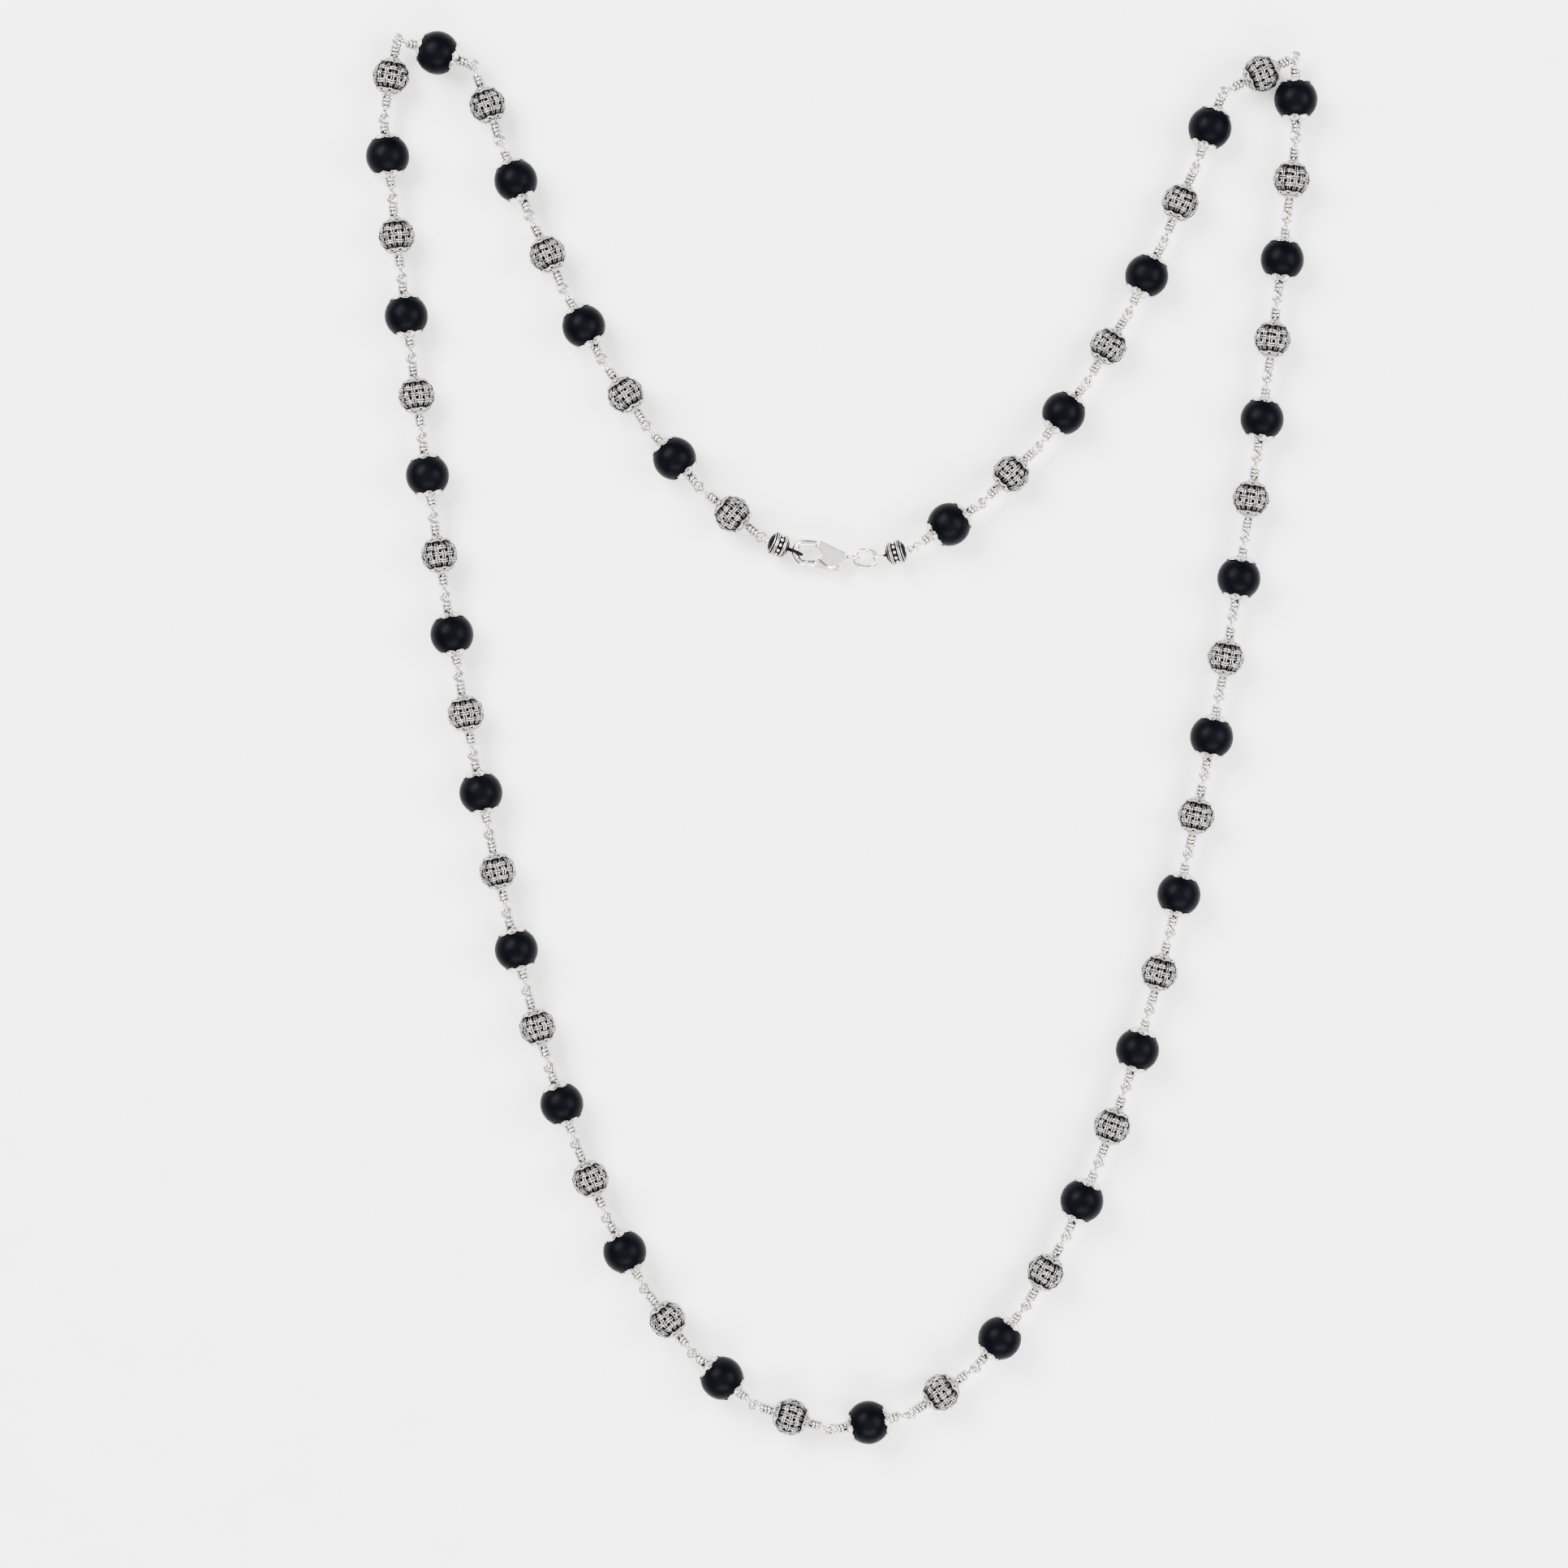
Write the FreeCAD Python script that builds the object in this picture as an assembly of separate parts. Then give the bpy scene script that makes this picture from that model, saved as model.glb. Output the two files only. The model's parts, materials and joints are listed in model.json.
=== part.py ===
"""A long strand of wire-wrapped bead links, closed by a lobster clasp, lying on a flat surface.

Fifty-four links alternate between a woven silver bead and a black stone bead with two petalled caps.
Each link has an eye loop, which lies flat, at its start and a pin loop, which stands upright, at its
end: the next link's eye turns round this link's pin. Two silver barrels join the strand to the clasp.

Millimetres. +Z is up and the surface is at z = 0. The origin is the middle of the strand's outline on
the surface, +Y points at the two folded corners, and the links are numbered along the strand from the
barrel that the clasp's hook holds.
"""

import FreeCAD, Part
import math
import os

from FreeCAD import Placement, Rotation, Vector

# beads
STONE_D = 10.0
WOVEN_D = 8.6
BORE_D = 1.0
# wire links
LINK_COUNT = 54
LINK_PITCH = 18.4
WIRE_D = 0.8
LOOP_R = 1.0  # of the loop wire's centre line
PIN_STRAIGHT = 0.4  # the straight, upright stretch of a pin loop
EYE_REACH = 8.7  # from the bead's middle to the eye's middle
PIN_REACH = LINK_PITCH - EYE_REACH  # from the bead's middle to the pin
WRAP_PITCH = 0.85
WRAP_END = 7.2  # from the bead's middle to the outer end of a wrap
STONE_TURNS = 2
WOVEN_TURNS = 3
# petalled bead cap
CAP_GAP = 0.02
CAP_THICK = 0.3
PETALS = 8
PETAL_R = 1.15
PETAL_RING_R = 2.3
CAP_CORE_R = 2.4
# woven bead
WEAVE_STEP = 22.5  # degrees of latitude between the woven rows
WEAVE_HALF = 8.0  # degrees, half of a row's width
WEAVE_DEPTH = 0.15
COLLAR_LATITUDE = 61.0
NECK_STEPS = ((3.55, 1.95), (3.95, 1.75), (4.3, 1.3), (4.55, 1.1))  # distance from the middle, radius
# barrels
BARREL_R = 2.85
BAND_R = 2.45  # of the recessed band between the two rims
BARREL_STEPS = (  # distance from the strand's pivot, radius
    (1.9, 1.0), (2.5, 1.3), (2.5, 2.1), (3.0, 2.3), (3.0, BARREL_R), (3.5, BARREL_R), (3.5, BAND_R),
    (4.9, BAND_R), (4.9, BARREL_R), (5.4, BARREL_R), (5.4, 2.4), (5.8, 2.2), (5.8, 1.6), (6.5, 1.3),
)
BARREL_STEM = 1.5  # from an eye loop's middle into the barrel
GRANULES = 12
GRANULE_R = 0.42
GRANULE_RING_R = 2.5
GRANULE_X = 4.2
BAIL_R = 1.65
BAIL_X = 8.3  # from the barrel's strand pivot to the bail's middle
BAIL_PIN_X = BAIL_X + BAIL_R
# jump ring
RING_WIRE_R = 0.525
RING_R = 1.9
RING_STRAIGHT = 1.3
LOOSE = 0.2  # between a ring and the wire that it hangs on
RING_SPAN = RING_STRAIGHT + 2 * (RING_R - RING_WIRE_R - WIRE_D / 2 - LOOSE)
# lobster clasp: x runs from the eye's pin towards the hook, +y is the lever's side
CLASP_EYE_R = 1.55
CLASP_EYE_WIRE_R = 0.45
BODY_THICK = 2.6
BODY_EDGE = 0.55
BODY_TAIL_X = 3.9
BODY_TAIL_R = 1.2
BODY_HEAD_X = 7.0
BODY_HEAD_R = 3.1
HOOK_WIRE_R = 0.85
HOOK_R = 2.3
HOOK_START_X = 9.6
HOOK_END_X = 12.55
HOOK_TIP_X = HOOK_END_X + HOOK_R
NOSE_X = 12.2  # where the hook's nose meets the gate
GATE_GAP = 0.2
GATE_START_X = 9.9
SLOT_X = (4.3, 10.6)
SLOT_Y = (0.5, 4.4)
SLOT_THICK = 1.3
LEVER_THICK = 1.1
LEVER_PIVOT = (7.2, 2.0)
LEVER_BOSS_R = 0.95
THUMB = (5.3, 3.0)
THUMB_R = 0.7
LEVER_PIN_R = 0.4
PIN_PLAY = 0.03
SPRING_SIZE = (2.0, 0.25, 0.9)
SPRING_AT = (4.6, 0.75, -0.45)
# how the strand lies: two deep hanging curves, folded over at two corners
STRAND_Z = STONE_D / 2
CLASP_DROP = 1.5  # the clasp lies this much lower than the strand
FRONT_SAG = 1.94  # the front curve's size, in links
FRONT_LOW = 27.62  # the link number at its lowest point
BACK_SAG = 2.94
BACK_LOW_LEFT = 1.39  # links from the back curve's lowest point to link 1
BACK_LOW_RIGHT = 0.91
LEFT_FOLD = {8: 161.0, 9: -100.0}  # headings of the links at the corners, degrees
RIGHT_FOLD = {46: 90.5, 47: 206.0}
CLASP_LEAN = -2.0  # degrees, from the line between the strand's two ends

X_AXIS, Y_AXIS, Z_AXIS = Vector(1, 0, 0), Vector(0, 1, 0), Vector(0, 0, 1)
WIRE_R = WIRE_D / 2


def along(heading, length):
    """The level step of a given length in a direction given in degrees."""
    return Vector(math.cos(math.radians(heading)), math.sin(math.radians(heading)), 0) * length


def turned(profile_edges):
    """The solid that a closed outline in the XZ plane makes when it turns round the X axis."""
    face = Part.Face(Part.Wire(Part.__sortEdges__(profile_edges)))
    return face.revolve(Vector(), X_AXIS, 360)


def line(a, b):
    return Part.LineSegment(Vector(a[0], 0, a[1]), Vector(b[0], 0, b[1])).toShape()


def arc(a, middle, b):
    return Part.Arc(*(Vector(x, 0, z) for x, z in (a, middle, b))).toShape()


def polyline(points):
    return [line(a, b) for a, b in zip(points, points[1:])]


def at_angle(radius, degrees):
    """A point on a circle in the XZ plane, with 0 degrees along +Z, away from the bead's axis."""
    return radius * math.sin(math.radians(degrees)), radius * math.cos(math.radians(degrees))


def oval_ring(radius, straight, wire_r):
    """A round-section ring in the XY plane: two half circles joined by straights that run along X."""
    half = straight / 2
    pieces = [
        Part.makeTorus(radius, wire_r, Vector(half, 0, 0), Z_AXIS, 0, 360, 180),
        Part.makeTorus(radius, wire_r, Vector(-half, 0, 0), Z_AXIS, 0, 360, 180),
    ]
    pieces[0].rotate(Vector(half, 0, 0), Z_AXIS, -90)
    pieces[1].rotate(Vector(-half, 0, 0), Z_AXIS, 90)
    for side in (-radius, radius):
        pieces.append(Part.makeCylinder(wire_r, straight, Vector(-half, side, 0), X_AXIS))
    return pieces[0].multiFuse(pieces[1:]).removeSplitter()


def pin_loop(wire_r=WIRE_R):
    """An upright loop whose outer wire is straight and stands on the origin. It reaches towards -X."""
    ring = oval_ring(LOOP_R, PIN_STRAIGHT, wire_r)
    ring.Placement = Placement(Vector(-LOOP_R, 0, 0), Rotation(X_AXIS, 90)).multiply(
        Placement(Vector(), Rotation(Z_AXIS, 90))
    )
    return ring


def link_wire(turns):
    """One piece of wire: core, a wrap at each end, a flat eye at the start and an upright pin loop."""
    start, end = -EYE_REACH + LOOP_R, PIN_REACH - 2 * LOOP_R
    outline = [(start, 0), (start, WIRE_R)]
    edges = []
    for side in (-1, 1):
        inner = side * (WRAP_END - turns * WRAP_PITCH)
        first, last = sorted((inner, side * WRAP_END))
        edges += polyline(outline + [(first, WIRE_R), (first, WIRE_D)])
        for n in range(turns):
            left = first + n * WRAP_PITCH
            top = (left + WRAP_PITCH / 2, WIRE_D + WRAP_PITCH / 2)
            edges.append(arc((left, WIRE_D), top, (left + WRAP_PITCH, WIRE_D)))
        outline = [(last, WIRE_D), (last, WIRE_R)]
    edges += polyline(outline + [(end, WIRE_R), (end, 0), (start, 0)])
    eye = Part.makeTorus(LOOP_R, WIRE_R, Vector(-EYE_REACH, 0, 0), Z_AXIS)
    pin = pin_loop()
    pin.translate(Vector(PIN_REACH, 0, 0))
    return turned(edges).multiFuse([eye, pin])


def bored(solid, reach):
    return solid.cut(Part.makeCylinder(BORE_D / 2, 2 * reach, Vector(-reach, 0, 0), X_AXIS))


def stone_bead():
    """A ball with a bore along X."""
    radius, bore_r = STONE_D / 2, BORE_D / 2
    end = math.sqrt(radius**2 - bore_r**2)
    ball = arc((-end, bore_r), (0, radius), (end, bore_r))
    return turned([ball, line((end, bore_r), (-end, bore_r))])


def bead_cap(side):
    """A thin cap that hugs the stone bead's end, with a scalloped edge of round petals."""
    inner_r = STONE_D / 2 + CAP_GAP
    shell = Part.makeSphere(inner_r + CAP_THICK).cut(Part.makeSphere(inner_r))
    reach = STONE_D
    stamp = Part.makeCylinder(CAP_CORE_R, reach, Vector(), X_AXIS)
    petals = []
    for n in range(PETALS):
        a = math.radians(360 / PETALS * n)
        middle = Vector(0, math.cos(a), math.sin(a)) * PETAL_RING_R
        petals.append(Part.makeCylinder(PETAL_R, reach, middle, X_AXIS))
    cap = bored(shell.common(stamp.multiFuse(petals).removeSplitter()), reach)
    if side < 0:
        cap.rotate(Vector(), Z_AXIS, 180)
    return cap


def woven_bead():
    """A round bead with raised woven rows, a collar and a short neck at each end."""
    bead_r, bore_r = WOVEN_D / 2, BORE_D / 2
    low_r = bead_r - WEAVE_DEPTH
    edges, here, floor_from = [], None, -COLLAR_LATITUDE + 2 * WEAVE_HALF
    stops = [(-COLLAR_LATITUDE, floor_from, bead_r)]
    for row in (-1, 0, 1):
        low, high = row * WEAVE_STEP - WEAVE_HALF, row * WEAVE_STEP + WEAVE_HALF
        stops += [(floor_from, low, low_r), (low, high, bead_r)]
        floor_from = high
    last = COLLAR_LATITUDE - 2 * WEAVE_HALF
    stops += [(floor_from, last, low_r), (last, COLLAR_LATITUDE, bead_r)]
    first_point = at_angle(bead_r, -COLLAR_LATITUDE)
    for low, high, radius in stops:
        a, b = at_angle(radius, low), at_angle(radius, high)
        if here:
            edges.append(line(here, a))
        edges.append(arc(a, at_angle(radius, (low + high) / 2), b))
        here = b
    neck = [*NECK_STEPS, (NECK_STEPS[-1][0], bore_r)]
    right = [here] + neck
    left = [(-x, r) for x, r in reversed(neck)] + [first_point]
    return turned(edges + polyline(right + left))


def barrel(strand_loop):
    """A stepped barrel with a granulated band and a bail. x = 0 is its pivot with the strand."""
    start, end = BARREL_STEPS[0][0], BARREL_STEPS[-1][0]
    body = turned(polyline([(start, 0), *BARREL_STEPS, (end, 0), (start, 0)]))
    pieces = []
    for n in range(GRANULES):
        a = math.radians(360 / GRANULES * n)
        middle = Vector(0, math.cos(a), math.sin(a)) * GRANULE_RING_R + X_AXIS * GRANULE_X
        pieces.append(Part.makeSphere(GRANULE_R, middle))
    pieces.append(Part.makeTorus(BAIL_R, WIRE_R, Vector(BAIL_X, 0, 0), Y_AXIS))
    if strand_loop == "pin":
        loop = pin_loop()
        loop.rotate(Vector(), Z_AXIS, 180)
    else:
        stem = Part.makeCylinder(WIRE_R, BARREL_STEM, Vector(LOOP_R, 0, 0), X_AXIS)
        loop = Part.makeTorus(LOOP_R, WIRE_R, Vector(), Z_AXIS).fuse(stem)
    return body.multiFuse(pieces + [loop])


def plate(circles, thick, edge=0):
    """A flat plate round two circles given as (x, y, radius), with rounded edges if edge isn't 0."""
    (ax, ay, ar), (bx, by, br) = circles
    a, b = Vector(ax, ay, 0), Vector(bx, by, 0)
    span = (b - a).Length
    base = math.degrees(math.atan2(by - ay, bx - ax))
    lean = math.degrees(math.acos((ar - br) / span))
    ends = [(a + along(base + s * lean, ar), b + along(base + s * lean, br)) for s in (1, -1)]
    (a_up, b_up), (a_down, b_down) = ends
    outline = Part.Wire(
        [
            Part.LineSegment(a_up, b_up).toShape(),
            Part.Arc(b_up, b + along(base, br), b_down).toShape(),
            Part.LineSegment(b_down, a_down).toShape(),
            Part.Arc(a_down, a - along(base, ar), a_up).toShape(),
        ]
    )
    solid = Part.Face(outline).extrude(Z_AXIS * thick)
    solid.translate(Z_AXIS * (-thick / 2))
    if edge:
        rims = [e for e in solid.Edges if abs(abs(e.CenterOfMass.z) - thick / 2) < 1e-6]
        solid = solid.makeFillet(edge, rims)
    return solid


def box(x_range, y_range, thick):
    corner = Vector(x_range[0], y_range[0], -thick / 2)
    return Part.makeBox(x_range[1] - x_range[0], y_range[1] - y_range[0], thick, corner)


def hook_ring(wire_r):
    ring = oval_ring(HOOK_R, HOOK_END_X - HOOK_START_X, wire_r)
    ring.translate(X_AXIS * ((HOOK_START_X + HOOK_END_X) / 2))
    return ring


def clasp_body():
    """The clasp's cast body: eye, tapered body with the lever's slot, and the open hook."""
    taper = plate(
        [(BODY_TAIL_X, 0, BODY_TAIL_R), (BODY_HEAD_X, 0, BODY_HEAD_R)], BODY_THICK, BODY_EDGE
    )
    hollow = hook_ring(HOOK_WIRE_R)
    opening_r = HOOK_R - HOOK_WIRE_R
    inside = plate(
        [(HOOK_START_X, 0, opening_r + 0.01), (HOOK_END_X, 0, opening_r)], 2 * BODY_THICK
    )
    eye = Part.makeTorus(CLASP_EYE_R, CLASP_EYE_WIRE_R, Vector(CLASP_EYE_R, 0, 0), Y_AXIS)
    gate_room = box((GATE_START_X, NOSE_X), (0, BODY_HEAD_R * 2), 2 * BODY_THICK)
    slot = box(SLOT_X, SLOT_Y, SLOT_THICK)
    pin_hole = Part.makeCylinder(
        LEVER_PIN_R, 2 * BODY_THICK, Vector(*LEVER_PIVOT, -BODY_THICK), Z_AXIS
    )
    cast = taper.cut(inside).multiFuse([hollow, eye])
    return cast.cut([gate_room, slot, pin_hole])


def clasp_lever():
    """The gate that closes the hook, with the thumb piece on the other side of its pin."""
    boss = (*LEVER_PIVOT, LEVER_BOSS_R)
    gate_end = NOSE_X - GATE_GAP
    blade = plate([boss, (GATE_START_X, HOOK_R, HOOK_WIRE_R - 0.05)], LEVER_THICK)
    thumb = plate([boss, (*THUMB, THUMB_R)], LEVER_THICK)
    gate_from = GATE_START_X + GATE_GAP
    gate = Part.makeCylinder(
        HOOK_WIRE_R - 0.02, gate_end - gate_from, Vector(gate_from, HOOK_R, 0), X_AXIS
    )
    hole = Part.makeCylinder(
        LEVER_PIN_R + PIN_PLAY, 2 * LEVER_THICK, Vector(*LEVER_PIVOT, -LEVER_THICK), Z_AXIS
    )
    return blade.multiFuse([thumb, gate]).cut(hole)


def clasp_pin_and_spring():
    """The lever's pin, and the leaf spring in the slot behind it."""
    pin = Part.makeCylinder(LEVER_PIN_R, BODY_THICK, Vector(*LEVER_PIVOT, -BODY_THICK / 2), Z_AXIS)
    leaf = Part.makeBox(*SPRING_SIZE, Vector(*SPRING_AT))
    return Part.makeCompound([pin, leaf])


def link_headings():
    """Each link's heading in degrees, by link number."""
    headings = {**LEFT_FOLD, **RIGHT_FOLD}
    for n in range(max(LEFT_FOLD) + 1, min(RIGHT_FOLD)):
        headings[n] = math.degrees(math.atan((n - FRONT_LOW) / FRONT_SAG))
    for n in range(1, min(LEFT_FOLD)):
        headings[n] = 180 - math.degrees(math.atan((n + BACK_LOW_LEFT) / BACK_SAG))
    for n in range(max(RIGHT_FOLD) + 1, LINK_COUNT + 1):
        from_end = LINK_COUNT + 1 - n + BACK_LOW_RIGHT
        headings[n] = 180 + math.degrees(math.atan(from_end / BACK_SAG))
    return headings


def heading_of(step):
    return math.degrees(math.atan2(step.y, step.x))


def level(length):
    """The level reach of a sloping piece that ends CLASP_DROP lower than it starts."""
    return math.sqrt(length**2 - CLASP_DROP**2)


def lay_strand():
    """Where every piece lies: {name: (pivot, heading, slope in degrees)} for the pieces' own origins."""
    places, here = {}, Vector(0, 0, STRAND_Z)
    first = here
    for n, heading in sorted(link_headings().items()):
        places[n] = (here, heading, 0)
        here = here + along(heading, LINK_PITCH)
    # the clasp and its ring, taken as one straight bar, bridge the two barrels
    span = here - first
    bar = HOOK_TIP_X + RING_SPAN
    lean = heading_of(span) + CLASP_LEAN
    left_reach, right_reach = level(BAIL_X), level(BAIL_PIN_X)
    rest = span - along(lean, bar)
    left_turn, right_turn = elbow(rest.Length, left_reach, right_reach)
    left_heading = heading_of(rest) - left_turn
    right_heading = heading_of(rest) + right_turn
    hook_at = first + along(left_heading, left_reach) - Z_AXIS * CLASP_DROP
    eye_at = hook_at + along(lean, HOOK_TIP_X)
    ring_at = eye_at + along(lean, RING_SPAN)
    left_slope = math.degrees(math.asin(CLASP_DROP / BAIL_X))
    right_slope = math.degrees(math.asin(CLASP_DROP / BAIL_PIN_X))
    places["left_barrel"] = (first, left_heading, left_slope)
    places["right_barrel"] = (here, right_heading + 180, right_slope)
    places["jump_ring"] = (ring_at, lean + 180, 0)
    places["clasp"] = (eye_at, lean + 180, 0)
    return places


def elbow(span, first, second):
    """The angles at both ends of a triangle with these three sides, in degrees."""
    at_first = math.acos((span**2 + first**2 - second**2) / (2 * span * first))
    at_second = math.acos((span**2 + second**2 - first**2) / (2 * span * second))
    return math.degrees(at_first), math.degrees(at_second)


def placed(shape, place, forward=0):
    """A copy of a shape, moved forward along its own X axis, sloped down and turned to its place."""
    pivot, heading, slope = place
    copy = shape.copy()
    copy.translate(X_AXIS * forward)
    turn = Rotation(Z_AXIS, heading).multiply(Rotation(Y_AXIS, slope))
    copy.Placement = Placement(pivot, turn).multiply(copy.Placement)
    return copy


def link_name(n):
    return f"woven_link_{n:02d}" if n % 2 else f"stone_link_{n:02d}"


def build():
    """Every sub-part in its place, by name."""
    places = lay_strand()
    stone = Part.makeCompound([stone_bead(), bead_cap(-1), bead_cap(1), link_wire(STONE_TURNS)])
    woven = Part.makeCompound([woven_bead(), link_wire(WOVEN_TURNS)])
    parts = {}
    for n in range(1, LINK_COUNT + 1):
        parts[link_name(n)] = placed(woven if n % 2 else stone, places[n], EYE_REACH)
    ring = oval_ring(RING_R, RING_STRAIGHT, RING_WIRE_R)
    clasp = places["clasp"]
    parts["left_barrel"] = placed(barrel("pin"), places["left_barrel"])
    parts["right_barrel"] = placed(barrel("eye"), places["right_barrel"])
    parts["jump_ring"] = placed(ring, places["jump_ring"], RING_SPAN / 2)
    parts["clasp_body"] = placed(clasp_body(), clasp)
    parts["clasp_lever"] = placed(clasp_lever(), clasp)
    parts["clasp_pin_and_spring"] = placed(clasp_pin_and_spring(), clasp)
    outline = Part.makeCompound(list(parts.values())).BoundBox
    middle = Vector(outline.Center.x, outline.Center.y, 0)
    for shape in parts.values():
        shape.translate(-middle)
    return parts, {name: (pivot - middle, h, s) for name, (pivot, h, s) in places.items()}


def main():
    parts, _ = build()
    os.makedirs("parts", exist_ok=True)
    for name, shape in parts.items():
        for solid in shape.Solids:
            if not solid.isValid() or not solid.isClosed():
                raise ValueError(f"{name} has a solid that isn't closed and valid")
        shape.exportStep(f"parts/{name}.step")
    whole = Part.makeCompound(list(parts.values())).BoundBox
    print(f"{len(parts)} sub-parts, {whole.XLength:.1f} x {whole.YLength:.1f} x {whole.ZLength:.1f} mm")


if __name__ == "__main__":
    main()
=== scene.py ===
"""The look of a long strand of wire-wrapped bead links with a lobster clasp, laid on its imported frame.

Each piece is first made at the origin with the strand along X, then its mesh is moved to its place.
Places come from the frame's joints. Lengths are in metres.
"""

import json
import math

import bmesh
import bpy
from bpy.props import FloatProperty, FloatVectorProperty, PointerProperty
from mathutils import Matrix, Vector, noise


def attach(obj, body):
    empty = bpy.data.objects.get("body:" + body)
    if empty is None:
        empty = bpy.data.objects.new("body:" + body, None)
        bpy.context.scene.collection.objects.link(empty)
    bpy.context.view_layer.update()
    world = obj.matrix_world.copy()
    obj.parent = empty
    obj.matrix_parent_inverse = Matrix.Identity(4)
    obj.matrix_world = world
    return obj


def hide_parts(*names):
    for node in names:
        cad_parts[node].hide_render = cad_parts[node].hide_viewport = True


bl_info = {
    "name": "Bead Strand",
    "version": (1, 0, 0),
    "blender": (4, 5, 0),
    "location": "View3D > Sidebar > Strand",
    "description": "Makes a strand of wire-wrapped bead links with a lobster clasp",
    "category": "Object",
}

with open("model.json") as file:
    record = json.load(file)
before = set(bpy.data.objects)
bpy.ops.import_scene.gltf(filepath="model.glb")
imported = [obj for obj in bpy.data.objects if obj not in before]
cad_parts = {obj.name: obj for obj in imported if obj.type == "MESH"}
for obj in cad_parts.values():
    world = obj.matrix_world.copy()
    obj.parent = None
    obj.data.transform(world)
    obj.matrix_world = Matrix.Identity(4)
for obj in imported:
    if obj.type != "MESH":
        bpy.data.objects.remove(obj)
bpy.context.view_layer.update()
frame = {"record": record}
JOINTS = {joint["name"]: Vector(joint["pos_m"]) for joint in frame["record"]["behaviour"]["joints"]}

MM = 0.001
X, Y, Z = Vector((1, 0, 0)), Vector((0, 1, 0)), Vector((0, 0, 1))
QUARTER = math.pi / 2

# the strand
LINKS = range(1, 55)
ROOT_LINK = 28
EYE_REACH = 8.7 * MM  # from a bead's middle to the middle of its end loops
WRAP_END = 7.2 * MM
WRAP_PITCH = 0.85 * MM
WRAP_STEPS = 16
COIL_RATIO = 1.06  # a wrap's radius over the wire's diameter
LOOP_SWEEP = math.radians(304)
LOOP_R = 1.0 * MM
BORE_R = 0.5 * MM
# bead caps
CAP_THICK = 0.28 * MM
PETAL_DOME = 0.16 * MM
CAP_COLLAR = 0.22 * MM
CREASE_DEPTH = 0.05 * MM
PETALS = 8
PETAL_R = 1.15 * MM
PETAL_RING_R = 2.3 * MM
# woven beads
COLUMNS = 16
ROW_STEP = math.radians(22.5)
WEAVE_WIRE_R = 0.245 * MM
WIRE_SPREAD = 0.27 * MM  # from the middle of a band to each of its two wires
WEAVE_DEPTH = 0.19 * MM
COLLAR_INNER = math.radians(45)
COLLAR_OUTER = math.radians(61)
COLLAR_MIDDLE = math.radians(53)
COLLAR_HOLES = 8
COLLAR_HOLE_R = 0.4 * MM
HOLE_RIM_R = 0.07 * MM
HOLE_PLUG_R = 0.37 * MM
WEAVE_SHADE_START = 0.9  # how squarely a weave wire faces outwards where its painted shade starts
# how gradually the weave wire's painted shade comes on
WEAVE_SHADE_FADE = 0.2
# barrels, measured along the barrel from its pivot with the strand
BAIL_X = 8.3 * MM
BAIL_R = 1.65 * MM
BAIL_WIRE_R = 0.4 * MM
STEM_R = 0.42 * MM
# Start, end and radius of each rim along a barrel, in millimetres.
BARREL_RIMS = (
    (2.52, 2.68, 2.38),
    (2.98, 3.14, 2.82),
    (3.34, 3.52, 2.9),
    (4.88, 5.06, 2.9),
    (5.26, 5.42, 2.82),
    (5.74, 5.88, 2.3),
)
RIM_FOOT_R = 1.2
RIM_SOFT = 0.08
GRANULES = 12
GRANULE_R = 0.4 * MM
GRANULE_X = 4.2 * MM
GRANULE_RING_R = 2.5 * MM
# jump ring and clasp: the clasp's x runs from the eye's pin to the hook, +y is the lever's side
RING_R = 1.9 * MM
RING_WIRE_R = 0.525 * MM
RING_STRAIGHT = 1.3 * MM
CLASP_EYE_R = 1.55 * MM
HOOK_R = 2.3 * MM
HOOK_WIRE_R = 0.85 * MM
HOOK_END_X = 12.55 * MM
HOOK_TIP_X = HOOK_END_X + HOOK_R
NOSE_X = 12.2 * MM
LEVER_PIVOT = Vector((7.2, 2.0, 0)) * MM
CLASP_THICK = 2.6 * MM
SLOT_THICK = 1.3 * MM
CLASP_EYE_WIRE_R = 0.45 * MM
BODY_VOXEL = 0.11 * MM
LEVER_VOXEL = 0.09 * MM
LEVER_THICK = 1.1 * MM
THUMB_THICK = 1.9 * LEVER_THICK
RIVET_R = 0.4 * MM
RIVET_EDGE = 0.06 * MM
# the picture: how far the camera's aim lies from the outline's middle
VIEW_WIDTH = 0.3586
VIEW_AIM = Vector((-0.0132, -0.0106, 0.005))
CAMERA_HEIGHT = 1.1
WARM_TINT = (0.88, 0.83, 0.75)
SKY_STRENGTH = 2.2
# Name, place, size and power of each soft lamp.
LAMPS = (
    ("key", (-0.75, 0.65, 1.0), (1.0, 0.7), 76),
    ("fill", (0.95, 0.1, 0.9), (0.9, 0.7), 42),
    ("front", (0.1, -1.0, 0.8), (1.2, 0.5), 42),
)


class StrandSizes(bpy.types.PropertyGroup):
    """Sizes of the beads and the wire"""

    stone: FloatProperty(
        name="Stone Bead", description="Diameter of a stone bead", default=10 * MM, unit="LENGTH"
    )
    woven: FloatProperty(
        name="Woven Bead", description="Diameter of a woven bead", default=8.6 * MM, unit="LENGTH"
    )
    wire: FloatProperty(
        name="Wire", description="Diameter of the link wire", default=0.8 * MM, unit="LENGTH"
    )


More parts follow.
